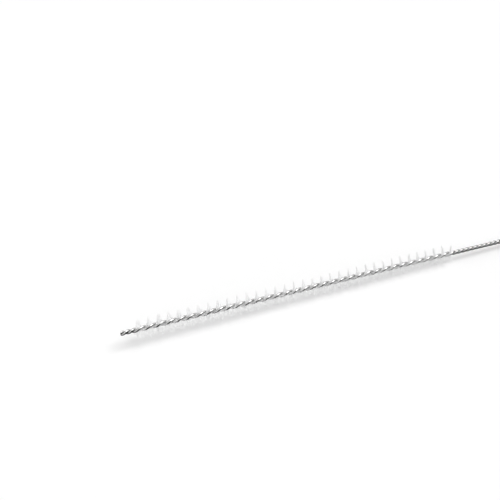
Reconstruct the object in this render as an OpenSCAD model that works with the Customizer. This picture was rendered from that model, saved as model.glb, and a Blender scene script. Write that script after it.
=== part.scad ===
// Test tube brush: one steel wire, folded at its hanging eye, whose two legs are
// twisted left-handed round a row of nylon bristles. It lies as it comes to rest:
// on the bristles nearest the eye and on the far side of the eye, with its cut
// tip raised. X runs along the brush towards the eye, and Z = 0 is the surface.

/* [Wire] */
// Diameter of the steel wire
wire_d = 0.6; // [0.5:0.05:0.7]
// Length from the cut tip to the far side of the eye
overall_len = 200; // [160:5:260]

/* [Twist] */
// Length of the bare twist ahead of the bristles
tip_len = 3.6; // [2:0.2:8]
// Length of the part that holds bristles
brush_len = 91; // [60:1:100]
// Length of one turn of the wire where it holds bristles
brush_pitch = 5.3; // [4.8:0.1:7]
// Length of one turn of the bare wire
bare_pitch = 3; // [2.8:0.1:5]

/* [Bristles] */
// Diameter over the bristle tips
brush_d = 5.6; // [4:0.2:12]
// Thickness of a bristle
bristle_t = 0.1; // [0.06:0.02:0.14]
// Angle by which the bristles are swept back towards the eye
bristle_lean = 3; // [0:1:20]

/* [Eye] */
// Clear width inside the hanging eye
eye_w = 7; // [5:0.5:10]
// Angle from the axis at which each leg runs out into the eye
eye_spread = 30; // [20:1:40]

/* [Hidden] */

// Steps in one turn of the twist, with and without bristles
brush_steps = 8;
bare_steps = 6;
// Bristles that stand out on each side for every step of the wire
bristles_per_step = 2;
// Play that keeps the faceted legs and the bristles apart
play = 0.02;

wire_r = wire_d / 2;
wire_sides = 6;
// Corner radius at which the six-sided wire has the round wire's area
corner_r = wire_r * sqrt(2 * PI / (wire_sides * sin(360 / wire_sides)));

brush_end = tip_len + brush_len;
brush_r = brush_d / 2;

// The eye is an arc that the two legs run into along its tangents. In the throat
// before it the last quarter turn dies away while the legs spread.
eye_r = eye_w / 2 + wire_r;
eye_x = overall_len - wire_r - eye_r;
throat_len = bare_pitch / 2;
throat_y = leg_r(overall_len) + tan(eye_spread) * throat_len / 2;
throat_end = eye_x - (eye_r - throat_y * cos(eye_spread)) / sin(eye_spread);
twist_end = throat_end - throat_len;
throat_steps = 5;
eye_steps = 10;

// The brush rests like two wheels on a line: the bristles' end and the wire at
// the far side of the eye.
sweep_x = brush_r * tan(bristle_lean);
rest_tilt = asin((brush_r - corner_r) / (overall_len - wire_r - brush_end - sweep_x));
rest_z = brush_r + (brush_end + sweep_x) * sin(rest_tilt);

// ---- the twist ----

// Degrees that the wire has turned between the tip and x
function turned(x) = 360 * (
    min(x, tip_len) / bare_pitch
    + max(0, min(x, brush_end) - tip_len) / brush_pitch
    + max(0, x - brush_end) / bare_pitch);

// Angle of the first leg round the axis at x. It falls along the brush, which
// makes the twist left-handed, and leaves a quarter turn for the throat.
function leg_angle(x) = 90 + turned(twist_end) - turned(x);

// Distance from the axis to the middle of each leg: the bristles part the legs
function leg_r(x) =
    wire_r + play + (x >= tip_len && x <= brush_end ? bristle_t / 2 : 0);

// Unit vector square to the axis at an angle from Y
function radial(angle) = [0, cos(angle), sin(angle)];

// Places along the axis where the legs have a ring of corners
function stations(from, to, pitch, steps) =
    let (n = ceil((to - from) / pitch * steps))
    [for (i = [0 : n - 1]) from + (to - from) * i / n];

// Half of the wire's route, as pairs of a centre and the way out from the bend
function twisted_half() =
    let (places = concat(
        stations(0, tip_len, bare_pitch, bare_steps),
        stations(tip_len, brush_end, brush_pitch, brush_steps),
        stations(brush_end, twist_end, bare_pitch, bare_steps)))
    [for (x = places)
        let (out = radial(leg_angle(x)))
        [[x, 0, 0] + leg_r(x) * out, out]];

function throat_half() = [
    for (i = [0 : throat_steps])
        let (u = i / throat_steps,
             angle = 90 * pow(1 - u, 2),
             r = leg_r(overall_len),
             out = radial(angle))
        [[twist_end + throat_len * u, (throat_y - r) * u * u, 0] + r * out, out]
];

function eye_half() = [
    for (i = [0 : eye_steps])
        let (angle = (90 + eye_spread) * (1 - i / eye_steps),
             out = [cos(angle), sin(angle), 0])
        [[eye_x, 0, 0] + eye_r * out, out]
];

// The second leg is the first one turned half round the axis
function turned_half_round(v) = [v[0], -v[1], -v[2]];

function wire_route() =
    let (half = concat(twisted_half(), throat_half(), eye_half()),
         n = len(half))
    concat(half, [for (i = [n - 2 : -1 : 0]) [for (v = half[i]) turned_half_round(v)]]);

// ---- swept wire ----

function unit(v) = v / norm(v);

// Way that a route heads at place i. Its two ends are cut square to the brush.
function heading(route, i) =
    i == 0 ? [1, 0, 0]
    : i == len(route) - 1 ? [-1, 0, 0]
    : unit(route[i + 1][0] - route[i - 1][0]);

// Corners of the ring at place i of a route, square to the route, with a flat
// side towards the axis
function ring(route, i) =
    let (along = heading(route, i),
         out = unit(route[i][1] - (route[i][1] * along) * along),
         side = cross(along, out))
    [for (k = [0 : wire_sides - 1])
        let (a = (k + 0.5) * 360 / wire_sides)
        route[i][0] + corner_r * (cos(a) * out + sin(a) * side)];

// Two triangles for each side between ring i and the next one
function tube_walls(rings, sides) = [
    for (i = [0 : rings - 2], k = [0 : sides - 1])
        let (a = i * sides + k,
             b = i * sides + (k + 1) % sides,
             c = b + sides,
             d = a + sides)
        each [[a, d, b], [d, c, b]]
];

module twisted_wire() {
    route = wire_route();
    n = len(route);
    first_end = [for (k = [0 : wire_sides - 1]) k];
    last_end = [for (k = [wire_sides - 1 : -1 : 0]) (n - 1) * wire_sides + k];
    color("silver")
        at_rest()
            polyhedron(
                points = [for (i = [0 : n - 1]) each ring(route, i)],
                faces = concat([first_end, last_end], tube_walls(n, wire_sides)));
}

// ---- bristles ----

bristle_steps = ceil(brush_len / brush_pitch * brush_steps) * bristles_per_step;
// The packed roots fill a strip this wide between the legs
root_r = wire_r * 1.5;
// Share of its length by which a bristle may be cut short, and the spread of lean
trim_spread = 0.04;
lean_spread = 3;
trims = rands(0, 1, 2 * bristle_steps, 11);
leans = rands(-1, 1, 2 * bristle_steps, 12);

// Four corners of the root strip at step i, which stands square to the legs
function root_ring(i) =
    let (x = tip_len + brush_len * i / bristle_steps,
         across = radial(leg_angle(x) + 90),
         through = radial(leg_angle(x) + 180))
    [for (s = [[1, 1], [-1, 1], [-1, -1], [1, -1]])
        [x, 0, 0] + s[0] * root_r * across + s[1] * bristle_t / 2 * through];

// Point of the bristle that stands out from step i on one side
function bristle_tip(i, side) =
    let (x = tip_len + brush_len * (i + 0.5) / bristle_steps,
         k = 2 * i + (side > 0 ? 0 : 1),
         r = brush_r * (1 - trim_spread * trims[k]),
         lean = bristle_lean + lean_spread * leans[k])
    [x + r * tan(lean), 0, 0] + side * r * radial(leg_angle(x) + 90);

// Walls of a spike from four base corners, in order round the base, to a point
function spike_walls(a, b, c, d, tip) = [[a, d, tip], [d, c, tip], [c, b, tip], [b, a, tip]];

module bristles() {
    n = bristle_steps;
    tips = 4 * (n + 1);
    faces = [
        for (i = [0 : n - 1])
            let (a = 4 * i, b = a + 4)
            each concat(
                [[a, b, a + 1], [b, b + 1, a + 1], [a + 2, b + 2, a + 3], [b + 2, b + 3, a + 3]],
                spike_walls(a + 3, a, b, b + 3, tips + 2 * i),
                spike_walls(a + 1, a + 2, b + 2, b + 1, tips + 2 * i + 1))
    ];
    color([0.94, 0.94, 0.92])
        at_rest()
            polyhedron(
                points = [
                    for (i = [0 : n]) each root_ring(i),
                    for (i = [0 : n - 1]) each [bristle_tip(i, 1), bristle_tip(i, -1)]
                ],
                faces = concat([[0, 1, 2, 3], [4 * n + 3, 4 * n + 2, 4 * n + 1, 4 * n]], faces));
}

// Lays the brush from its own axis onto the surface, centred along X
module at_rest() {
    translate([-overall_len / 2 * cos(rest_tilt), 0, rest_z])
        rotate([0, rest_tilt, 0])
            children();
}

twisted_wire();
bristles();
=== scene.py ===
"""Looks of a test tube brush: a folded steel wire twisted round a double row of nylon bristles.

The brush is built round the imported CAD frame. Every size is in metres and every angle in
degrees unless a name or docstring says otherwise. In the brush's own axes X runs from the cut
tip to the hanging eye; the last steps of each node tree lay the brush down at rest.
"""

from __future__ import annotations

import logging
import math
from dataclasses import dataclass, field
from enum import Enum
from typing import Any, Sequence, Union

import bmesh
import bpy
from mathutils import Matrix, Vector
from mathutils.geometry import intersect_line_line

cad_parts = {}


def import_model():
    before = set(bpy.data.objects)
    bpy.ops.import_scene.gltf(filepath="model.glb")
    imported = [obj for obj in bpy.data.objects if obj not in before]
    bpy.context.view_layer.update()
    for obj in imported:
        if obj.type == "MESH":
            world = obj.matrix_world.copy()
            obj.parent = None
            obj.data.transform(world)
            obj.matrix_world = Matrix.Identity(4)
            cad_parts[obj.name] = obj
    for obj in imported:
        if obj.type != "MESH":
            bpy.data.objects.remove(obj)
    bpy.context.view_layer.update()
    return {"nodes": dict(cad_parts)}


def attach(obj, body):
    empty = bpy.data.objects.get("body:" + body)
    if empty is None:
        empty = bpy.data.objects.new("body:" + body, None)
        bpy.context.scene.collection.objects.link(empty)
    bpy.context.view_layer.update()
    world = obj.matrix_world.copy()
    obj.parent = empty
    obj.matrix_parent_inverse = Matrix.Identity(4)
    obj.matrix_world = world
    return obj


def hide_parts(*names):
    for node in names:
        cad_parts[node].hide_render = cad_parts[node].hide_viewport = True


MM = 0.001

Socket = bpy.types.NodeSocket
Value = Union[Socket, float, int, bool, str, Sequence[float], bpy.types.ID]
Inputs = dict[Union[str, int], Value]
Colour = tuple[float, float, float, float]
Point = tuple[float, float, float]

WHITE: Colour = (1.0, 1.0, 1.0, 1)
MATTE: Inputs = {"Roughness": 1.0, "Specular IOR Level": 0.0}

log = logging.getLogger("test_tube_brush")


class Node(Enum):
    """Nodes of the CAD model that the pieces stand for."""

    TWISTED_WIRE = "twisted_wire"
    BRISTLES = "bristles"


class Slot(Enum):
    """Material slots of the record."""

    STEEL_WIRE = "steel_wire"
    NYLON = "nylon"


class Mark(Enum):
    """Attributes that the node trees leave on a mesh."""

    LENGTH = "length"
    CORNER = "corner"
    WIRE_PLACE = "wire_place"
    # Depth in the groove between the legs, by which the steel's painted shade is laid.
    CREVICE = "crevice"
    FILAMENT_PLACE = "filament_place"
    REACH = "reach"
    TONE = "tone"


# ---- node trees ----


class TreeWriter:
    """Adds nodes to one tree and links them, so that a formula reads in order."""

    def __init__(self, target: bpy.types.NodeTree) -> None:
        """Starts to write in a geometry or shader node tree."""
        self.target = target

    def add(self, kind: str, **settings: Any) -> bpy.types.Node:
        """Adds a node.

        Args:
            kind: The node's type name.
            settings: Properties of the node and their values.

        Returns:
            The new node.
        """
        node = self.target.nodes.new(kind)
        for name, value in settings.items():
            setattr(node, name, value)
        return node

    def feed(self, socket: Socket, value: Value) -> None:
        """Links a socket to another one, or sets its own value.

        Args:
            socket: The input socket.
            value: An output socket to link from, or a constant.
        """
        if isinstance(value, Socket):
            self.target.links.new(value, socket)
        else:
            socket.default_value = value

    def fill(self, node: bpy.types.Node, inputs: Inputs) -> None:
        """Feeds a node's inputs, given by name or number."""
        for name, value in inputs.items():
            self.feed(node.inputs[name], value)

    def place(self, kind: str, inputs: Inputs, **settings: Any) -> Socket:
        """Adds a node and feeds its inputs.

        Args:
            kind: The node's type name.
            inputs: Names or numbers of input sockets and what feeds them.
            settings: Properties of the node and their values.

        Returns:
            The node's first output.
        """
        node = self.add(kind, **settings)
        self.fill(node, inputs)
        return node.outputs[0]

    def place_typed(self, kind: str, inputs: Inputs, data_type: str) -> Socket:
        """Adds a node that has sockets of one name for each data type, and feeds those in use.

        Args:
            kind: The node's type name.
            inputs: Names of input sockets and what feeds them.
            data_type: The data type in use.

        Returns:
            The output in use.
        """
        node = self.add(kind, data_type=data_type)
        for socket in node.inputs:
            if socket.enabled and socket.name in inputs:
                self.feed(socket, inputs[socket.name])
        return next(socket for socket in node.outputs if socket.enabled)

    def math(self, operation: str, *values: Value) -> Socket:
        """Works out one step of arithmetic, named as the Math node names it."""
        return self.place("ShaderNodeMath", dict(enumerate(values)), operation=operation)

    def clamp(self, value: Value) -> Socket:
        """Keeps a value between 0 and 1."""
        return self.place("ShaderNodeClamp", {"Value": value})

    def mean(self, first: Value, second: Value) -> Socket:
        """Takes the mean of two values."""
        return self.math("MULTIPLY", self.math("ADD", first, second), 0.5)

    def vector(self, x: Value, y: Value, z: Value) -> Socket:
        """Joins three values into a vector."""
        return self.place("ShaderNodeCombineXYZ", {"X": x, "Y": y, "Z": z})

    def parts(self, vector: Socket) -> bpy.types.NodeOutputs:
        """Splits a vector into outputs named X, Y and Z."""
        return self.place("ShaderNodeSeparateXYZ", {0: vector}).node.outputs

    def remap(self, value: Value, low: Value, high: Value, to_low: Value, to_high: Value) -> Socket:
        """Maps a value from one range onto another, smoothly at its ends."""
        fed = dict(enumerate((value, low, high, to_low, to_high)))
        return self.place("ShaderNodeMapRange", fed, interpolation_type="SMOOTHSTEP")

    def looking_rays(self) -> Socket:
        """Finds the rays that look at a surface and don't light it.

        Returns:
            The socket that holds 1 for those rays, else 0.
        """
        rays = self.add("ShaderNodeLightPath").outputs
        seen = self.math("MAXIMUM", rays["Is Camera Ray"], rays["Is Glossy Ray"])
        return self.math("MAXIMUM", seen, rays["Is Transmission Ray"])

    def read(self, mark: Mark, output: str) -> Socket:
        """Reads a mark in a material, as its output "Fac" or "Vector"."""
        return self.add("ShaderNodeAttribute", attribute_name=mark.value).outputs[output]


class GroupWriter(TreeWriter):
    """Writes a new node group with named sockets."""

    def __init__(self, kind: str, name: str, inputs: dict[str, str], outputs: dict[str, str]) -> None:
        """Makes the group, with nothing between its inputs and outputs.

        Args:
            kind: "Geometry" or "Shader".
            name: The group's name.
            inputs: Names of the inputs and their kinds, such as "Float".
            outputs: Names of the outputs and their kinds.
        """
        super().__init__(bpy.data.node_groups.new(name, kind + "NodeTree"))
        for way, sockets in (("INPUT", inputs), ("OUTPUT", outputs)):
            for label, holds in sockets.items():
                self.target.interface.new_socket(label, in_out=way, socket_type="NodeSocket" + holds)
        self.given = self.add("NodeGroupInput").outputs
        self.results = self.add("NodeGroupOutput").inputs

    def position(self) -> Socket:
        """Gives the position of each point."""
        return self.add("GeometryNodeInputPosition").outputs[0]

    def mark(
        self, geometry: Value, mark: Mark, value: Value, kind: str = "FLOAT", domain: str = "POINT"
    ) -> Socket:
        """Stores a mark of a data type on each point or instance of a geometry."""
        fed = {"Geometry": geometry, "Name": mark.value, "Value": value}
        return self.place("GeometryNodeStoreNamedAttribute", fed, data_type=kind, domain=domain)

    def recall(self, mark: Mark, kind: str) -> Socket:
        """Reads a mark of a data type back in the same tree."""
        return self.place("GeometryNodeInputNamedAttribute", {"Name": mark.value}, data_type=kind)

    def tube(self, route: Socket, section: Socket) -> Socket:
        """Draws a closed tube of a section along a route."""
        fed = {"Curve": route, "Profile Curve": section, "Fill Caps": True}
        return self.place("GeometryNodeCurveToMesh", fed)

    def circle(self, radius: str) -> Socket:
        """Draws a circle with the input Sides and the input of this name as its radius."""
        fed = {"Resolution": self.given["Sides"], "Radius": self.given[radius]}
        return self.place("GeometryNodeCurvePrimitiveCircle", fed)


# ---- sizes ----


@dataclass(frozen=True)
class BrushLayout:
    """Driving sizes of the brush, the same as the CAD model's, and what follows from them.

    The wire is round and the bristles part its two legs. The twist is left-handed: the angle
    of a leg round the axis falls along the brush.
    """

    wire_d: float = 0.6 * MM
    overall_len: float = 200 * MM
    tip_len: float = 3.6 * MM
    brush_len: float = 91 * MM
    brush_pitch: float = 5.3 * MM
    bare_pitch: float = 3 * MM
    brush_d: float = 5.6 * MM
    bristle_lean: float = 3
    clamped_t: float = 0.1 * MM
    eye_w: float = 7 * MM
    eye_spread: float = 30
    play: float = 0.02 * MM

    @property
    def wire_r(self) -> float:
        """Radius of the wire."""
        return self.wire_d / 2

    @property
    def brush_r(self) -> float:
        """Radius over the bristle tips."""
        return self.brush_d / 2

    @property
    def brush_end(self) -> float:
        """Place along the axis where the bristles end."""
        return self.tip_len + self.brush_len

    @property
    def bare_leg_r(self) -> float:
        """Distance from the axis to a leg's middle where nothing parts the legs."""
        return self.wire_r + self.play

    @property
    def eye_r(self) -> float:
        """Radius of the eye, to the wire's middle."""
        return self.eye_w / 2 + self.wire_r

    @property
    def eye_x(self) -> float:
        """Place of the eye's centre along the axis."""
        return self.overall_len - self.wire_r - self.eye_r

    @property
    def throat_len(self) -> float:
        """Length in which the twist dies away before the eye."""
        return self.bare_pitch / 2

    @property
    def throat_y(self) -> float:
        """Distance from the axis to each leg where it enters the eye."""
        return self.bare_leg_r + math.tan(math.radians(self.eye_spread)) * self.throat_len / 2

    @property
    def throat_end(self) -> float:
        """Place along the axis where the eye's arc starts."""
        spread = math.radians(self.eye_spread)
        return self.eye_x - (self.eye_r - self.throat_y * math.cos(spread)) / math.sin(spread)

    @property
    def twist_end(self) -> float:
        """Place along the axis where the full twist ends."""
        return self.throat_end - self.throat_len

    @property
    def bristle_sweep(self) -> float:
        """How far along the axis a bristle's lean carries its tip."""
        return self.brush_r * math.tan(math.radians(self.bristle_lean))

    @property
    def rest_tilt(self) -> float:
        """Angle in radians by which the brush dips towards the eye as it lies."""
        run = self.overall_len - self.wire_r - self.brush_end - self.bristle_sweep
        return math.asin((self.brush_r - self.wire_r) / run)

    @property
    def rest_place(self) -> Vector:
        """Where the cut tip's middle lies when the brush rests."""
        height = self.brush_r + (self.brush_end + self.bristle_sweep) * math.sin(self.rest_tilt)
        return Vector((-self.overall_len / 2 * math.cos(self.rest_tilt), 0, height))

    def leg_r(self, x: float) -> float:
        """Distance from the axis to the middle of each leg at a place, wider at the bristles."""
        clamps = self.tip_len <= x <= self.brush_end
        return self.bare_leg_r + (self.clamped_t / 2 if clamps else 0)

    def turned(self, x: float) -> float:
        """Finds the angle that the wire has turned between the tip and a place.

        Args:
            x: Place along the axis, up to the end of the full twist.

        Returns:
            The angle in radians.
        """
        bare = min(x, self.tip_len) + max(0, x - self.brush_end)
        clamping = max(0, min(x, self.brush_end) - self.tip_len)
        return math.tau * (bare / self.bare_pitch + clamping / self.brush_pitch)

    def on_axis(self, x: float) -> Vector:
        """Finds where a place along the axis lies in the CAD model's frame."""
        return self.rest_place + Vector((x * math.cos(self.rest_tilt), 0, -x * math.sin(self.rest_tilt)))


class TwistLaw:
    """The geometry node group that tells how far the legs are turned at each place."""

    def __init__(self, layout: BrushLayout) -> None:
        """Builds the group for a brush of these sizes."""
        self.layout = layout
        self.group = self._build()

    def values(self) -> dict[str, float]:
        """Gives the inputs of the group other than the place.

        Returns:
            Their values by name.
        """
        layout = self.layout
        return {
            "Tip Length": layout.tip_len,
            "Brush Length": layout.brush_len,
            "Brush Pitch": layout.brush_pitch,
            "Bare Pitch": layout.bare_pitch,
            "Twist End": layout.twist_end,
            "Throat Length": layout.throat_len,
            "Whole Turn": layout.turned(layout.twist_end),
        }

    def _build(self) -> bpy.types.NodeTree:
        """Writes the law as nodes.

        Returns:
            The group: place along the axis in, angle of the first leg in radians out.
        """
        inputs = {name: "Float" for name in ("Along", *self.values())}
        tree = GroupWriter("Geometry", "Twist Law", inputs, {"Angle": "Float"})
        given = tree.given
        along = tree.math("MINIMUM", given["Along"], given["Twist End"])
        past_tip = tree.math("MAXIMUM", tree.math("SUBTRACT", along, given["Tip Length"]), 0.0)
        clamping = tree.math("MINIMUM", past_tip, given["Brush Length"])
        bare = tree.math("SUBTRACT", along, clamping)
        turns = tree.math(
            "ADD",
            tree.math("DIVIDE", bare, given["Bare Pitch"]),
            tree.math("DIVIDE", clamping, given["Brush Pitch"]),
        )
        turned = tree.math("MULTIPLY", turns, math.tau)
        past_twist = tree.math("SUBTRACT", given["Along"], given["Twist End"])
        into_throat = tree.math("DIVIDE", past_twist, given["Throat Length"])
        left = tree.math("SUBTRACT", 1.0, tree.clamp(into_throat))
        last_quarter = tree.math("MULTIPLY", tree.math("MULTIPLY", left, left), math.pi / 2)
        still_to_turn = tree.math("SUBTRACT", given["Whole Turn"], turned)
        tree.feed(tree.results["Angle"], tree.math("ADD", last_quarter, still_to_turn))
        return tree.target

    def angle(self, tree: GroupWriter, along: Value) -> Socket:
        """Gives the angle at a place, in a tree that has this group's other inputs too."""
        fed = {"Along": along, **{name: tree.given[name] for name in self.values()}}
        return tree.place("GeometryNodeGroup", fed, node_tree=self.group)


# ---- pieces made by node trees ----


def put(name: str, data: bpy.types.ID) -> bpy.types.Object:
    """Puts a new object into the scene.

    Args:
        name: Its name.
        data: Its mesh, light or lens.

    Returns:
        The object.
    """
    thing = bpy.data.objects.new(name, data)
    bpy.context.scene.collection.objects.link(thing)
    return thing


@dataclass
class GrownPiece:
    """A piece whose mesh a geometry node tree makes.

    The subclass gives the tree and the mesh that it starts from. The tree's last steps lay
    the brush down at rest.
    """

    layout: BrushLayout
    law: TwistLaw
    material: bpy.types.Material
    node: Node = field(init=False)
    slot: Slot = field(init=False)

    def sizes(self) -> dict[str, Value]:
        """Inputs of the tree that are this piece's own, by name."""
        raise NotImplementedError

    def seed_mesh(self) -> bpy.types.Mesh:
        """Makes the mesh that the tree starts from."""
        raise NotImplementedError

    def write(self, tree: GroupWriter) -> Socket:
        """Writes the tree's own part and gives the geometry in the brush's axes."""
        raise NotImplementedError

    def values(self) -> dict[str, Value]:
        """Gives all inputs of the tree other than the geometry.

        Returns:
            Their values by name.
        """
        return {
            **self.sizes(),
            **self.law.values(),
            "Rest Tilt": self.layout.rest_tilt,
            "Rest Place": self.layout.rest_place,
            "Material": self.material,
        }

    @staticmethod
    def _kind(value: Value) -> str:
        """Finds the kind of socket that holds a value."""
        kinds = {int: "Int", float: "Float", Vector: "Vector", bpy.types.Material: "Material"}
        return next(name for python_type, name in kinds.items() if isinstance(value, python_type))

    def tree(self) -> bpy.types.NodeTree:
        """Builds the whole node tree.

        Returns:
            The tree, which ends in Realize Instances and Set Material.
        """
        kinds = {name: self._kind(value) for name, value in self.values().items()}
        geometry = {"Geometry": "Geometry"}
        tree = GroupWriter("Geometry", self.node.value, {**geometry, **kinds}, geometry)
        whole = tree.place("GeometryNodeRealizeInstances", {"Geometry": self.write(tree)})
        tilt = tree.vector(0.0, tree.given["Rest Tilt"], 0.0)
        turned = tree.place("FunctionNodeEulerToRotation", {"Euler": tilt})
        fed = {"Geometry": whole, "Rotation": turned, "Translation": tree.given["Rest Place"]}
        laid = tree.place("GeometryNodeTransform", fed)
        fed = {"Geometry": laid, "Material": tree.given["Material"]}
        tree.feed(tree.results["Geometry"], tree.place("GeometryNodeSetMaterial", fed))
        return tree.target

    def build(self) -> bpy.types.Object:
        """Makes the piece and hands it to the frame.

        Returns:
            The finished object, a plain closed mesh.
        """
        grower = put(self.node.value + "_grower", self.seed_mesh())
        modifier = grower.modifiers.new("grow", "NODES")
        modifier.node_group = self.tree()
        sockets = {
            item.name: item.identifier
            for item in modifier.node_group.interface.items_tree
            if item.in_out == "INPUT"
        }
        for name, value in self.values().items():
            modifier[sockets[name]] = value
        grower.update_tag()
        graph = bpy.context.evaluated_depsgraph_get()
        mesh = bpy.data.meshes.new_from_object(grower.evaluated_get(graph))
        grower.modifiers.remove(modifier)
        bpy.data.objects.remove(grower)
        self._face_outwards(mesh)
        mesh.name = self.node.value
        piece = put(self.node.value + "_piece", mesh)
        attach(piece, "root")
        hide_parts(self.node.value)
        return piece

    @staticmethod
    def _face_outwards(mesh: bpy.types.Mesh) -> None:
        """Turns every face outwards and shades the long walls smooth.

        Args:
            mesh: The mesh, whose long walls are of four-sided faces.
        """
        work = bmesh.new()
        work.from_mesh(mesh)
        bmesh.ops.recalc_face_normals(work, faces=work.faces)
        for face in work.faces:
            face.smooth = len(face.verts) == 4
        work.to_mesh(mesh)
        work.free()


@dataclass
class TwistedWire(GrownPiece):
    """One steel wire, folded at the eye, whose two legs are twisted together.

    Attributes:
        brush_steps: Rings in one turn where bristles are clamped.
        bare_steps: Rings in one turn of the bare wire.
        throat_steps: Rings in the throat before the eye.
        eye_steps: Rings in half of the eye.
        sides: Sides of the wire.
        groove_depth: How far from the axis the groove between the legs is painted dark as shade.
        square_end: Length at the cut ends that runs straight, so that they are cut square.
    """

    node: Node = Node.TWISTED_WIRE
    slot: Slot = Slot.STEEL_WIRE
    brush_steps: int = 32
    bare_steps: int = 24
    throat_steps: int = 12
    eye_steps: int = 40
    sides: int = 12
    groove_depth: float = 0.5 * MM
    square_end: float = 0.12 * MM

    def sizes(self) -> dict[str, Value]:
        """Gives the inputs of the tree that are this piece's own.

        Returns:
            Their values by name.
        """
        return {
            "Wire Radius": self.layout.wire_r,
            "Leg Radius": self.layout.bare_leg_r,
            "Groove Depth": self.groove_depth,
            "Square End": self.square_end,
            "Sides": self.sides,
        }

    def seed_mesh(self) -> bpy.types.Mesh:
        """Draws the folded wire before it is twisted: two straight legs and the eye.

        Returns:
            A line mesh from the end of one leg round the eye to the end of the other.
        """
        leg = [(x, self.layout.leg_r(x)) for x in self._leg_places()]
        half = leg + self._throat() + self._eye_half()
        other = [(x, -y) for x, y in reversed(half[:-1])]
        points = [(x, y, 0.0) for x, y in half + other]
        mesh = bpy.data.meshes.new("folded_wire")
        mesh.from_pydata(points, [(i, i + 1) for i in range(len(points) - 1)], [])
        return mesh

    def _leg_places(self) -> list[float]:
        """Spaces the rings of a leg.

        Returns:
            Their places along the axis, up to the end of the full twist.
        """
        layout = self.layout
        stretches = (
            (self.square_end, layout.tip_len, layout.bare_pitch, self.bare_steps),
            (layout.tip_len, layout.brush_end, layout.brush_pitch, self.brush_steps),
            (layout.brush_end, layout.twist_end, layout.bare_pitch, self.bare_steps),
        )
        places = [0.0]
        for start, end, pitch, steps in stretches:
            count = math.ceil((end - start) / pitch * steps)
            places += [start + (end - start) * i / count for i in range(count)]
        return places

    def _throat(self) -> list[tuple[float, float]]:
        """Draws one leg from the end of the full twist to the eye.

        Returns:
            Its points, along the axis and aside.
        """
        layout = self.layout
        rise = layout.throat_y - layout.bare_leg_r
        shares = [i / self.throat_steps for i in range(self.throat_steps)]
        return [
            (layout.twist_end + layout.throat_len * share, layout.bare_leg_r + rise * share**2)
            for share in shares
        ]

    def _eye_half(self) -> list[tuple[float, float]]:
        """Draws one half of the eye, from the throat to its far side.

        Returns:
            Its points, along the axis and aside.
        """
        layout = self.layout
        sweep = math.radians(90 + layout.eye_spread)
        angles = [sweep * (1 - i / self.eye_steps) for i in range(self.eye_steps + 1)]
        return [
            (layout.eye_x + layout.eye_r * math.cos(angle), layout.eye_r * math.sin(angle))
            for angle in angles
        ]

    def write(self, tree: GroupWriter) -> Socket:
        """Twists the folded wire and gives it its round section.

        Args:
            tree: Writer of this piece's tree.

        Returns:
            The socket that holds the wire's mesh, in the brush's axes.
        """
        line = tree.place("GeometryNodeMeshToCurve", {"Mesh": tree.given["Geometry"]})
        twisted = tree.place("GeometryNodeSetPosition", {"Geometry": line, "Position": self._twist(tree)})
        length = tree.add("GeometryNodeSplineParameter").outputs["Length"]
        route = tree.mark(twisted, Mark.LENGTH, length)
        section = tree.mark(tree.circle("Wire Radius"), Mark.CORNER, tree.position(), "FLOAT_VECTOR")
        corner = tree.parts(tree.recall(Mark.CORNER, "FLOAT_VECTOR"))
        wire_place = tree.vector(tree.recall(Mark.LENGTH, "FLOAT"), corner["X"], corner["Y"])
        placed = tree.mark(tree.tube(route, section), Mark.WIRE_PLACE, wire_place, "FLOAT_VECTOR")
        # The crevice mark is the depth by which the steel's painted shade darkens the groove.
        return tree.mark(placed, Mark.CREVICE, self._crevice(tree))

    def _twist(self, tree: GroupWriter) -> Socket:
        """Works out where a point of the folded wire goes when the legs are twisted.

        Args:
            tree: Writer of this piece's tree.

        Returns:
            The socket that holds the position.
        """
        flat = tree.parts(tree.position())
        side = tree.math("SIGN", flat["Y"])
        reach = tree.math("ABSOLUTE", flat["Y"])
        angle = self.law.angle(tree, tree.math("MAXIMUM", flat["X"], tree.given["Square End"]))
        past_twist = tree.math("GREATER_THAN", flat["X"], tree.given["Twist End"])
        past_leg = tree.math("MAXIMUM", tree.math("SUBTRACT", reach, tree.given["Leg Radius"]), 0.0)
        spread = tree.math("MULTIPLY", past_leg, past_twist)
        turning = tree.math("SUBTRACT", reach, spread)
        level = tree.math("ADD", spread, tree.math("MULTIPLY", turning, tree.math("COSINE", angle)))
        lift = tree.math("MULTIPLY", turning, tree.math("SINE", angle))
        return tree.vector(flat["X"], tree.math("MULTIPLY", side, level), tree.math("MULTIPLY", side, lift))

    @staticmethod
    def _crevice(tree: GroupWriter) -> Socket:
        """Works out how deep a point lies in the groove between the legs, for its painted shade.

        Args:
            tree: Writer of this piece's tree.

        Returns:
            The socket that holds the depth, from 0 to 1.
        """
        place = tree.parts(tree.position())
        squares = [tree.math("MULTIPLY", place[axis], place[axis]) for axis in "YZ"]
        from_axis = tree.math("SQRT", tree.math("ADD", *squares))
        return tree.remap(from_axis, 0.0, tree.given["Groove Depth"], 1.0, 0.0)


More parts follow.
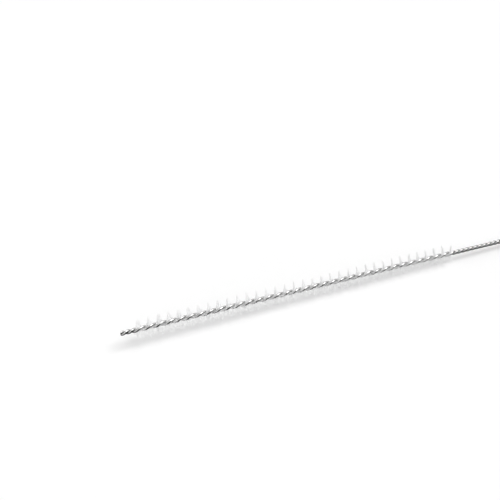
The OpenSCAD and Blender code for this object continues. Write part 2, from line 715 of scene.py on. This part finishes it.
@dataclass
class Bristles(GrownPiece):
    """Nylon filaments that stand out on both sides of the gap between the legs.

    Attributes:
        per_half_turn: Filaments on each side for every half turn of the wire.
        filament_d: Thickness of a filament.
        sides: Sides of a filament.
        segments: Straight lengths that a bent filament is made of.
        bend: How far a filament's middle is off its straight line, for the most bent kind.
        kinds: Share of the full bend that each kind has, with its side.
        lean_spread: Spread of the angle at which the filaments lean.
        fan_spread: Spread of their angle round the axis.
        trim_spread: Share of its length by which a filament may be cut short.
        seed: Seed of everything random here.
        side_draws: Step in the seed from the roots to the first side and from that to the second.
    """

    node: Node = Node.BRISTLES
    slot: Slot = Slot.NYLON
    per_half_turn: int = 42
    filament_d: float = 0.07 * MM
    sides: int = 5
    segments: int = 2
    bend: float = 0.16 * MM
    kinds: tuple[float, float, float] = (0.0, 0.6, -1.0)
    lean_spread: float = 5.0
    fan_spread: float = 4.0
    trim_spread: float = 0.3
    seed: int = 5
    side_draws: int = 10

    def sizes(self) -> dict[str, Value]:
        """Gives the inputs of the tree that are this piece's own.

        Returns:
            Their values by name.
        """
        layout = self.layout
        return {
            "Count": round(self.per_half_turn * 2 * layout.brush_len / layout.brush_pitch),
            "Brush Radius": layout.brush_r,
            "Filament Radius": self.filament_d / 2,
            "Bend": self.bend,
            "Lean": math.radians(layout.bristle_lean),
            "Lean Spread": math.radians(self.lean_spread),
            "Fan Spread": math.radians(self.fan_spread),
            "Trim Spread": self.trim_spread,
            "Sides": self.sides,
            "Segments": self.segments,
            "Seed": self.seed,
        }

    def seed_mesh(self) -> bpy.types.Mesh:
        """Makes an empty mesh: the tree makes the filaments' roots itself."""
        return bpy.data.meshes.new("no_points")

    def write(self, tree: GroupWriter) -> Socket:
        """Sets a filament on every root, once for each side of the wire.

        Args:
            tree: Writer of this piece's tree.

        Returns:
            The socket that holds the filaments, in the brush's axes.
        """
        roots = self._roots(tree)
        kinds = tree.add("GeometryNodeGeometryToInstance")
        for share in self.kinds:
            tree.feed(kinds.inputs[0], self._filament(tree, share))
        join = tree.add("GeometryNodeJoinGeometry")
        for side in (0, 1):
            tree.feed(join.inputs[0], self._row(tree, roots, kinds.outputs[0], side))
        return join.outputs[0]

    def _random(self, tree: GroupWriter, offset: int) -> Socket:
        """Draws a number from -1 to 1 for each root, with an offset that is this use's own."""
        seed = tree.math("ADD", tree.given["Seed"], float(offset))
        return tree.place_typed("FunctionNodeRandomValue", {"Min": -1.0, "Max": 1.0, "Seed": seed}, "FLOAT")

    def _roots(self, tree: GroupWriter) -> Socket:
        """Lays the roots out along the axis, each a little off its even place.

        Args:
            tree: Writer of this piece's tree.

        Returns:
            The socket that holds the roots as points.
        """
        given = tree.given
        step = tree.math("DIVIDE", given["Brush Length"], tree.math("SUBTRACT", given["Count"], 1.0))
        start = tree.vector(given["Tip Length"], 0.0, 0.0)
        fed = {"Count": given["Count"], "Start Location": start, "Offset": tree.vector(step, 0.0, 0.0)}
        line = tree.place("GeometryNodeMeshLine", fed, mode="OFFSET")
        half_shift = tree.math("MULTIPLY", tree.math("MULTIPLY", self._random(tree, 0), step), 0.5)
        offset = tree.vector(half_shift, 0.0, 0.0)
        return tree.place("GeometryNodeSetPosition", {"Geometry": line, "Offset": offset})

    def _filament(self, tree: GroupWriter, share: float) -> Socket:
        """Makes one filament that stands up from the axis.

        Args:
            tree: Writer of this piece's tree.
            share: How much of the full bend it has, and to which side.

        Returns:
            The socket that holds the closed tube.
        """
        height = tree.given["Brush Radius"]
        # The curve's middle comes half as far aside as its handle.
        aside = tree.math("MULTIPLY", tree.given["Bend"], 2.0 * share)
        fed = {
            "Resolution": tree.given["Segments"],
            "Start": (0.0, 0.0, 0.0),
            "Middle": tree.vector(aside, 0.0, tree.math("MULTIPLY", height, 0.5)),
            "End": tree.vector(0.0, 0.0, height),
        }
        line = tree.place("GeometryNodeCurveQuadraticBezier", fed)
        factor = tree.add("GeometryNodeSplineParameter").outputs["Factor"]
        tube = tree.tube(tree.mark(line, Mark.REACH, factor), tree.circle("Filament Radius"))
        return tree.mark(tube, Mark.FILAMENT_PLACE, tree.position(), "FLOAT_VECTOR")

    def _row(self, tree: GroupWriter, roots: Socket, kinds: Socket, side: int) -> Socket:
        """Sets filaments on the roots, standing out square to the legs on one side.

        Args:
            tree: Writer of this piece's tree.
            roots: The roots.
            kinds: The kinds of filament.
            side: Number of the side. The second is half a turn from the first.

        Returns:
            The socket that holds the row as instances.
        """
        given = tree.given
        fan, lean_off, cut, kind, tone = (
            self._random(tree, self.side_draws * (side + 1) + draw) for draw in range(5)
        )
        angle = self.law.angle(tree, tree.parts(tree.position())["X"])
        fanned = tree.math("ADD", angle, tree.math("MULTIPLY", fan, given["Fan Spread"]))
        round_axis = tree.math("ADD", fanned, math.pi * side)
        lean = tree.math("ADD", given["Lean"], tree.math("MULTIPLY", lean_off, given["Lean Spread"]))
        leaning, turned = (
            tree.place("FunctionNodeAxisAngleToRotation", {"Axis": axis, "Angle": amount})
            for axis, amount in (((0.0, 1.0, 0.0), lean), ((1.0, 0.0, 0.0), round_axis))
        )
        fed = {"Rotation": leaning, "Rotate By": turned}
        rotation = tree.place("FunctionNodeRotateRotation", fed, rotation_space="GLOBAL")
        trimmed = tree.math("MULTIPLY", tree.math("ABSOLUTE", cut), given["Trim Spread"])
        reach = tree.math("DIVIDE", tree.math("SUBTRACT", 1.0, trimmed), tree.math("COSINE", lean))
        fed = {
            "Points": roots,
            "Instance": kinds,
            "Pick Instance": True,
            "Instance Index": tree.math("ADD", tree.math("ROUND", kind), 1.0),
            "Rotation": rotation,
            "Scale": tree.vector(1.0, 1.0, reach),
        }
        row = tree.place("GeometryNodeInstanceOnPoints", fed)
        return tree.mark(row, Mark.TONE, tone, domain="INSTANCE")


# ---- finishes ----


def length_lines() -> bpy.types.NodeTree:
    """Builds a shader group of fine lines that a die leaves along a drawn wire or filament.

    Returns:
        The group: a place with its length in X in, a mask of lines out.
    """
    inputs = {"Place": "Vector", "Lines per Metre": "Float", "Stretch": "Float", "Contrast": "Float"}
    tree = GroupWriter("Shader", "Length Lines", inputs, {"Lines": "Float"})
    place = tree.parts(tree.given["Place"])
    across = tree.given["Lines per Metre"]
    along = tree.math("DIVIDE", across, tree.given["Stretch"])
    rates = {"X": along, "Y": across, "Z": across}
    scaled = tree.vector(*(tree.math("MULTIPLY", place[axis], rate) for axis, rate in rates.items()))
    fed = {"Vector": scaled, "Scale": 1.0, "Detail": 3.0, "Roughness": 0.6}
    centred = tree.math("SUBTRACT", tree.place("ShaderNodeTexNoise", fed), 0.5)
    spread = tree.math("MULTIPLY", centred, tree.given["Contrast"])
    tree.feed(tree.results["Lines"], tree.clamp(tree.math("ADD", spread, 0.5)))
    return tree.target


def soft_patches() -> bpy.types.NodeTree:
    """Builds a shader group of soft patches in which a finish varies over the piece.

    Returns:
        The group: the size of a patch in, a mask from 0 to 1 out.
    """
    tree = GroupWriter("Shader", "Patches", {"Patch Size": "Float"}, {"Patches": "Float"})
    place = tree.add("ShaderNodeTexCoord").outputs["Object"]
    scale = tree.math("DIVIDE", 1.0, tree.given["Patch Size"])
    fed = {"Vector": place, "Scale": scale, "Detail": 2.0, "Roughness": 0.5}
    faintest, fullest = 0.3, 0.7
    mask = tree.remap(tree.place("ShaderNodeTexNoise", fed), faintest, fullest, 0.0, 1.0)
    tree.feed(tree.results["Patches"], mask)
    return tree.target


@dataclass(frozen=True)
class Effects:
    """The shader groups that more than one finish uses."""

    lines: bpy.types.NodeTree = field(default_factory=length_lines)
    patches: bpy.types.NodeTree = field(default_factory=soft_patches)


def mix_colour(tree: TreeWriter, share: Value, first: Value, second: Value) -> Socket:
    """Mixes two colours, with a share of the second one."""
    fed = {"Factor": share, "A": first, "B": second}
    return tree.place_typed("ShaderNodeMix", fed, "RGBA")


def new_material(name: str) -> tuple[bpy.types.Material, TreeWriter, bpy.types.Node]:
    """Makes a material with a Principled BSDF.

    Args:
        name: The material's name.

    Returns:
        The material, a writer of its tree and its Principled node.
    """
    material = bpy.data.materials.new(name)
    material.use_nodes = True
    return material, TreeWriter(material.node_tree), material.node_tree.nodes["Principled BSDF"]


@dataclass(frozen=True)
class DrawnFinish:
    """What the finishes of a wire and a filament drawn through a die have in common.

    Attributes:
        lines_per_metre: Lines side by side in a metre.
        line_stretch: How many times as long as wide a line is.
        line_contrast: How strongly the lines differ.
        patch_size: Size of a patch in which the finish varies.
    """

    lines_per_metre: float
    line_stretch: float
    line_contrast: float
    patch_size: float

    def lines(self, tree: TreeWriter, effects: Effects, place: Socket) -> Socket:
        """Places the lines in the material.

        Args:
            tree: Writer of the material's tree.
            effects: Shader groups that finishes share.
            place: Place on the surface, with its length in X.

        Returns:
            The socket that holds their mask.
        """
        fed = {
            "Place": place,
            "Lines per Metre": self.lines_per_metre,
            "Stretch": self.line_stretch,
            "Contrast": self.line_contrast,
        }
        return tree.place("ShaderNodeGroup", fed, node_tree=effects.lines)

    def patches(self, tree: TreeWriter, effects: Effects) -> Socket:
        """Places the patches in the material and gives their mask."""
        return tree.place("ShaderNodeGroup", {"Patch Size": self.patch_size}, node_tree=effects.patches)


@dataclass(frozen=True)
class SteelWireFinish(DrawnFinish):
    """Bright drawn steel, with lines along the wire and painted shade, near black, in the groove between
    the legs.
    """

    lines_per_metre: float = 14000
    line_stretch: float = 60
    line_contrast: float = 1.6
    patch_size: float = 4 * MM
    line_depth: float = 0.004 * MM
    line_relief: float = 0.5
    bright: Colour = (0.75, 0.75, 0.745, 1)
    dull: Colour = (0.64, 0.64, 0.635, 1)
    # Painted shade in the groove between the legs, not the steel's own colour.
    groove_shade: Colour = (0.03, 0.03, 0.03, 1)
    smooth: float = 0.05
    rough: float = 0.12

    def make(self, effects: Effects) -> bpy.types.Material:
        """Builds the material.

        Args:
            effects: Shader groups that finishes share.

        Returns:
            The material.
        """
        material, tree, principled = new_material("drawn_steel")
        lines = self.lines(tree, effects, tree.read(Mark.WIRE_PLACE, "Vector"))
        worn = tree.mean(lines, self.patches(tree, effects))
        steel = mix_colour(tree, worn, self.bright, self.dull)
        relief = {"Height": lines, "Strength": self.line_relief, "Distance": self.line_depth}
        fed = {
            # Painted shade: the steel darkens to near black deep in the groove between the legs.
            "Base Color": mix_colour(tree, tree.read(Mark.CREVICE, "Fac"), steel, self.groove_shade),
            "Metallic": 1.0,
            "Roughness": tree.remap(worn, 0.0, 1.0, self.smooth, self.rough),
            "Normal": tree.place("ShaderNodeBump", relief),
        }
        tree.fill(principled, fed)
        return material


@dataclass(frozen=True)
class NylonFinish(DrawnFinish):
    """Milky white nylon filament, frosted where it is cut.

    The scatter evens out the light round a filament, as milky nylon does.
    """

    lines_per_metre: float = 50000
    line_stretch: float = 40
    line_contrast: float = 1.2
    patch_size: float = 9 * MM
    line_share: float = 0.4
    clear: Colour = WHITE
    milky: Colour = (0.985, 0.985, 0.985, 1)
    cut: Colour = (0.97, 0.97, 0.97, 1)
    cut_from: float = 0.96
    polished: float = 0.35
    frosted: float = 0.6
    scatter: float = 1.0
    refraction: float = 1.5

    def make(self, effects: Effects) -> bpy.types.Material:
        """Builds the material.

        Args:
            effects: Shader groups that finishes share.

        Returns:
            The material.
        """
        material, tree, principled = new_material("nylon_filament")
        own = tree.remap(tree.read(Mark.TONE, "Fac"), -1.0, 1.0, 0.0, 1.0)
        milky = tree.mean(own, self.patches(tree, effects))
        body = mix_colour(tree, milky, self.clear, self.milky)
        cut = tree.remap(tree.read(Mark.REACH, "Fac"), self.cut_from, 1.0, 0.0, 1.0)
        place = tree.parts(tree.read(Mark.FILAMENT_PLACE, "Vector"))
        lines = self.lines(tree, effects, tree.vector(place["Z"], place["X"], place["Y"]))
        grain = tree.math("MAXIMUM", cut, tree.math("MULTIPLY", lines, self.line_share))
        fed = {
            "Base Color": mix_colour(tree, cut, body, self.cut),
            "Roughness": tree.remap(grain, 0.0, 1.0, self.polished, self.frosted),
            "Diffuse Roughness": self.scatter,
            "IOR": self.refraction,
        }
        tree.fill(principled, fed)
        return material


# ---- studio ----


def stage_mesh(
    name: str, corners: list[Point], faces: list[tuple[int, ...]], material: bpy.types.Material
) -> bpy.types.Object:
    """Makes a mesh of the studio, which isn't part of the brush.

    Args:
        name: The object's name.
        corners: Its vertices.
        faces: Its faces, as numbers of vertices.
        material: Its material.

    Returns:
        The object.
    """
    mesh = bpy.data.meshes.new(name)
    mesh.from_pydata(corners, [], faces)
    mesh.materials.append(material)
    thing = put(name, mesh)
    return thing


@dataclass(frozen=True)
class Floor:
    """A plain white floor that takes the brush's shadow.

    The lamps leave it a little short of white, and its own lift, which lights nothing,
    makes up the rest.
    """

    half_side: float = 3.0
    colour: Colour = WHITE
    fleck: Colour = (0.985, 0.985, 0.985, 1)
    patch_size: float = 60 * MM
    lift: float = 0.04

    def build(self, effects: Effects) -> None:
        """Lays the floor.

        Args:
            effects: Shader groups that finishes share.
        """
        material, tree, principled = new_material("pale_floor")
        mask = tree.place("ShaderNodeGroup", {"Patch Size": self.patch_size}, node_tree=effects.patches)
        fed = {
            "Base Color": mix_colour(tree, mask, self.colour, self.fleck),
            "Emission Color": WHITE,
            "Emission Strength": tree.math("MULTIPLY", tree.looking_rays(), self.lift),
        }
        tree.fill(principled, {**MATTE, **fed})
        side = self.half_side
        corners = [(-side, -side, 0), (side, -side, 0), (side, side, 0), (-side, side, 0)]
        stage_mesh("floor", corners, [(0, 1, 2, 3)], material)


@dataclass(frozen=True)
class BlackCards:
    """Black card round and under the brush, which only the brush's gloss sees.

    It gives the bright wire the dark lower half that metal has under a lamp. The ring of
    card is low all round and high in front: on the camera's side, turned towards the eye.
    """

    radius: float = 0.6
    low: float = 0.08
    high: float = 1.0
    high_turn: float = 25
    high_arc: float = 30
    fade_arc: float = 20
    above_floor: float = 0.5 * MM
    corners: int = 72
    shade: Colour = (0.02, 0.02, 0.02, 1)

    def build(self, towards_camera: Vector) -> None:
        """Sets the cards up.

        Args:
            towards_camera: Level direction from the brush to the camera.
        """
        material, tree, principled = new_material("black_card")
        tree.fill(principled, {**MATTE, "Base Color": self.shade})
        front = math.atan2(towards_camera.y, towards_camera.x) + math.radians(self.high_turn)
        foot, rim = [], []
        for i in range(self.corners):
            turn = math.tau * i / self.corners
            x, y = self.radius * math.cos(front + turn), self.radius * math.sin(front + turn)
            foot.append((x, y, self.above_floor))
            rim.append((x, y, self._height(math.degrees(min(turn, math.tau - turn)))))
        count = self.corners
        faces = [(i, (i + 1) % count, count + (i + 1) % count, count + i) for i in range(count)]
        faces.append(tuple(range(count)))
        cards = stage_mesh("black_cards", foot + rim, faces, material)
        for rays in ("camera", "diffuse", "shadow", "transmission", "volume_scatter"):
            setattr(cards, "visible_" + rays, False)

    def _height(self, from_front: float) -> float:
        """Height of the ring at an angle from the front, falling from high to low."""
        share = min(max((from_front - self.high_arc) / self.fade_arc, 0.0), 1.0)
        return self.high + (self.low - self.high) * share


@dataclass(frozen=True)
class FarLamp:
    """A lamp so far away that its light is the same all over the brush.

    Attributes:
        name: Its name.
        strength: Its strength.
        spread: Angle over which its light comes.
        lean: Angle by which it leans from overhead.
        turn: Angle from the camera's side, towards the eye, to the side it leans to.
        gleams: Whether gloss shows it.
    """

    name: str
    strength: float
    spread: float
    lean: float
    turn: float
    gleams: bool

    def hang(self, towards_camera: Vector) -> None:
        """Hangs the lamp.

        Args:
            towards_camera: Level direction from the brush to the camera.
        """
        side = Matrix.Rotation(math.radians(self.turn), 3, "Z") @ towards_camera
        lean = math.radians(self.lean)
        aim = side * math.sin(lean) + Vector((0, 0, math.cos(lean)))
        light = bpy.data.lights.new(self.name, "SUN")
        light.angle = math.radians(self.spread)
        light.energy = self.strength
        lamp = put(self.name, light)
        lamp.rotation_euler = aim.to_track_quat("Z", "Y").to_euler()
        lamp.visible_glossy = self.gleams


@dataclass(frozen=True)
class SoftLight:
    """A broad lamp that leans towards the eye, a fill from in front and an even surround.

    The fill lights the bristles but leaves no gleam on the wire.
    """

    overhead: FarLamp = FarLamp("overhead_lamp", strength=1.3, spread=38, lean=28, turn=95, gleams=True)
    fill: FarLamp = FarLamp("fill_lamp", strength=0.7, spread=90, lean=60, turn=0, gleams=False)
    surround: float = 0.5

    def build(self, towards_camera: Vector) -> None:
        """Hangs the lamps and sets a white world, which lights the brush softly.

        Args:
            towards_camera: Level direction from the brush to the camera.
        """
        self.overhead.hang(towards_camera)
        self.fill.hang(towards_camera)
        world = bpy.data.worlds.new("white_surround")
        bpy.context.scene.world = world
        world.use_nodes = True
        tree = TreeWriter(world.node_tree)
        seen = tree.looking_rays()
        dim = tree.math("MULTIPLY", tree.math("SUBTRACT", 1.0, seen), self.surround)
        fed = {"Color": WHITE, "Strength": tree.math("ADD", seen, dim)}
        tree.fill(world.node_tree.nodes["Background"], fed)


@dataclass(frozen=True)
class BrushCamera:
    """A camera that looks down on the brush along its length.

    Pixels are in an image of 500 by 500. The sensor's width is in millimetres.
    """

    image_side: int = 500
    focal_pixels: float = 900
    sensor_width: float = 36
    nearest: float = 10 * MM
    elevation: float = 38
    axis_slope: float = 0.2445
    tip_pixel: tuple[float, float] = (120.5, 333.3)
    bristle_end_pixel: tuple[float, float] = (451.0, 253.6)

    @property
    def azimuth(self) -> float:
        """Turn of the camera round the brush, in radians, that gives the axis its slope."""
        return -math.atan(self.axis_slope / math.sin(math.radians(self.elevation)))

    @property
    def right(self) -> Vector:
        """Direction to the right in the image."""
        return Vector((math.cos(self.azimuth), math.sin(self.azimuth), 0))

    @property
    def towards_camera(self) -> Vector:
        """Level direction from the brush to the camera."""
        return Vector((math.sin(self.azimuth), -math.cos(self.azimuth), 0))

    @property
    def back(self) -> Vector:
        """Direction from the brush to the camera."""
        lift = math.radians(self.elevation)
        return self.towards_camera * math.cos(lift) + Vector((0, 0, math.sin(lift)))

    def _sight(self, pixel: tuple[float, float]) -> Vector:
        """Finds the direction from a point that shows at a pixel to the camera.

        Args:
            pixel: Place in the image, across and down.

        Returns:
            The direction.
        """
        half = self.image_side / 2
        across = (pixel[0] - half) / self.focal_pixels
        rise = (half - pixel[1]) / self.focal_pixels
        return self.back - across * self.right - rise * self.back.cross(self.right)

    def build(self, tip: Vector, bristle_end: Vector) -> None:
        """Places the camera where the brush's tip and the bristles' end show at their pixels.

        Args:
            tip: Middle of the cut tip.
            bristle_end: Place on the axis where the bristles end.
        """
        lens = bpy.data.cameras.new("camera")
        lens.sensor_width = self.sensor_width
        lens.lens = self.focal_pixels / self.image_side * self.sensor_width
        lens.clip_start = self.nearest
        camera = put("camera", lens)
        near, far = intersect_line_line(
            tip,
            tip + self._sight(self.tip_pixel),
            bristle_end,
            bristle_end + self._sight(self.bristle_end_pixel),
        )
        camera.location = (near + far) / 2
        camera.rotation_euler = self.back.to_track_quat("Z", "Y").to_euler()
        bpy.context.scene.camera = camera


# ---- everything in order ----


def report(piece: bpy.types.Object) -> None:
    """Logs a finished piece's size and number of triangles.

    Args:
        piece: The piece.
    """
    triangles = sum(len(face.vertices) - 2 for face in piece.data.polygons)
    axes = [[vertex.co[i] / MM for vertex in piece.data.vertices] for i in range(3)]
    spans = ", ".join(f"{min(places):.2f} to {max(places):.2f}" for places in axes)
    log.info("%s: %d triangles, mm %s", piece.name, triangles, spans)


def main() -> None:
    """Builds the brush round the CAD frame, then the studio round the brush."""
    logging.basicConfig(level=logging.INFO, format="%(name)s: %(message)s")
    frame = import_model()
    log.info("frame holds %s", ", ".join(sorted(frame["nodes"])))
    bpy.context.scene.view_settings.view_transform = "Standard"

    layout = BrushLayout()
    camera = BrushCamera()
    camera.build(layout.on_axis(0), layout.on_axis(layout.brush_end))

    effects = Effects()
    law = TwistLaw(layout)
    report(TwistedWire(layout, law, SteelWireFinish().make(effects)).build())
    report(Bristles(layout, law, NylonFinish().make(effects)).build())

    Floor().build(effects)
    BlackCards().build(camera.towards_camera)
    SoftLight().build(camera.towards_camera)


if __name__ == "__main__":
    main()
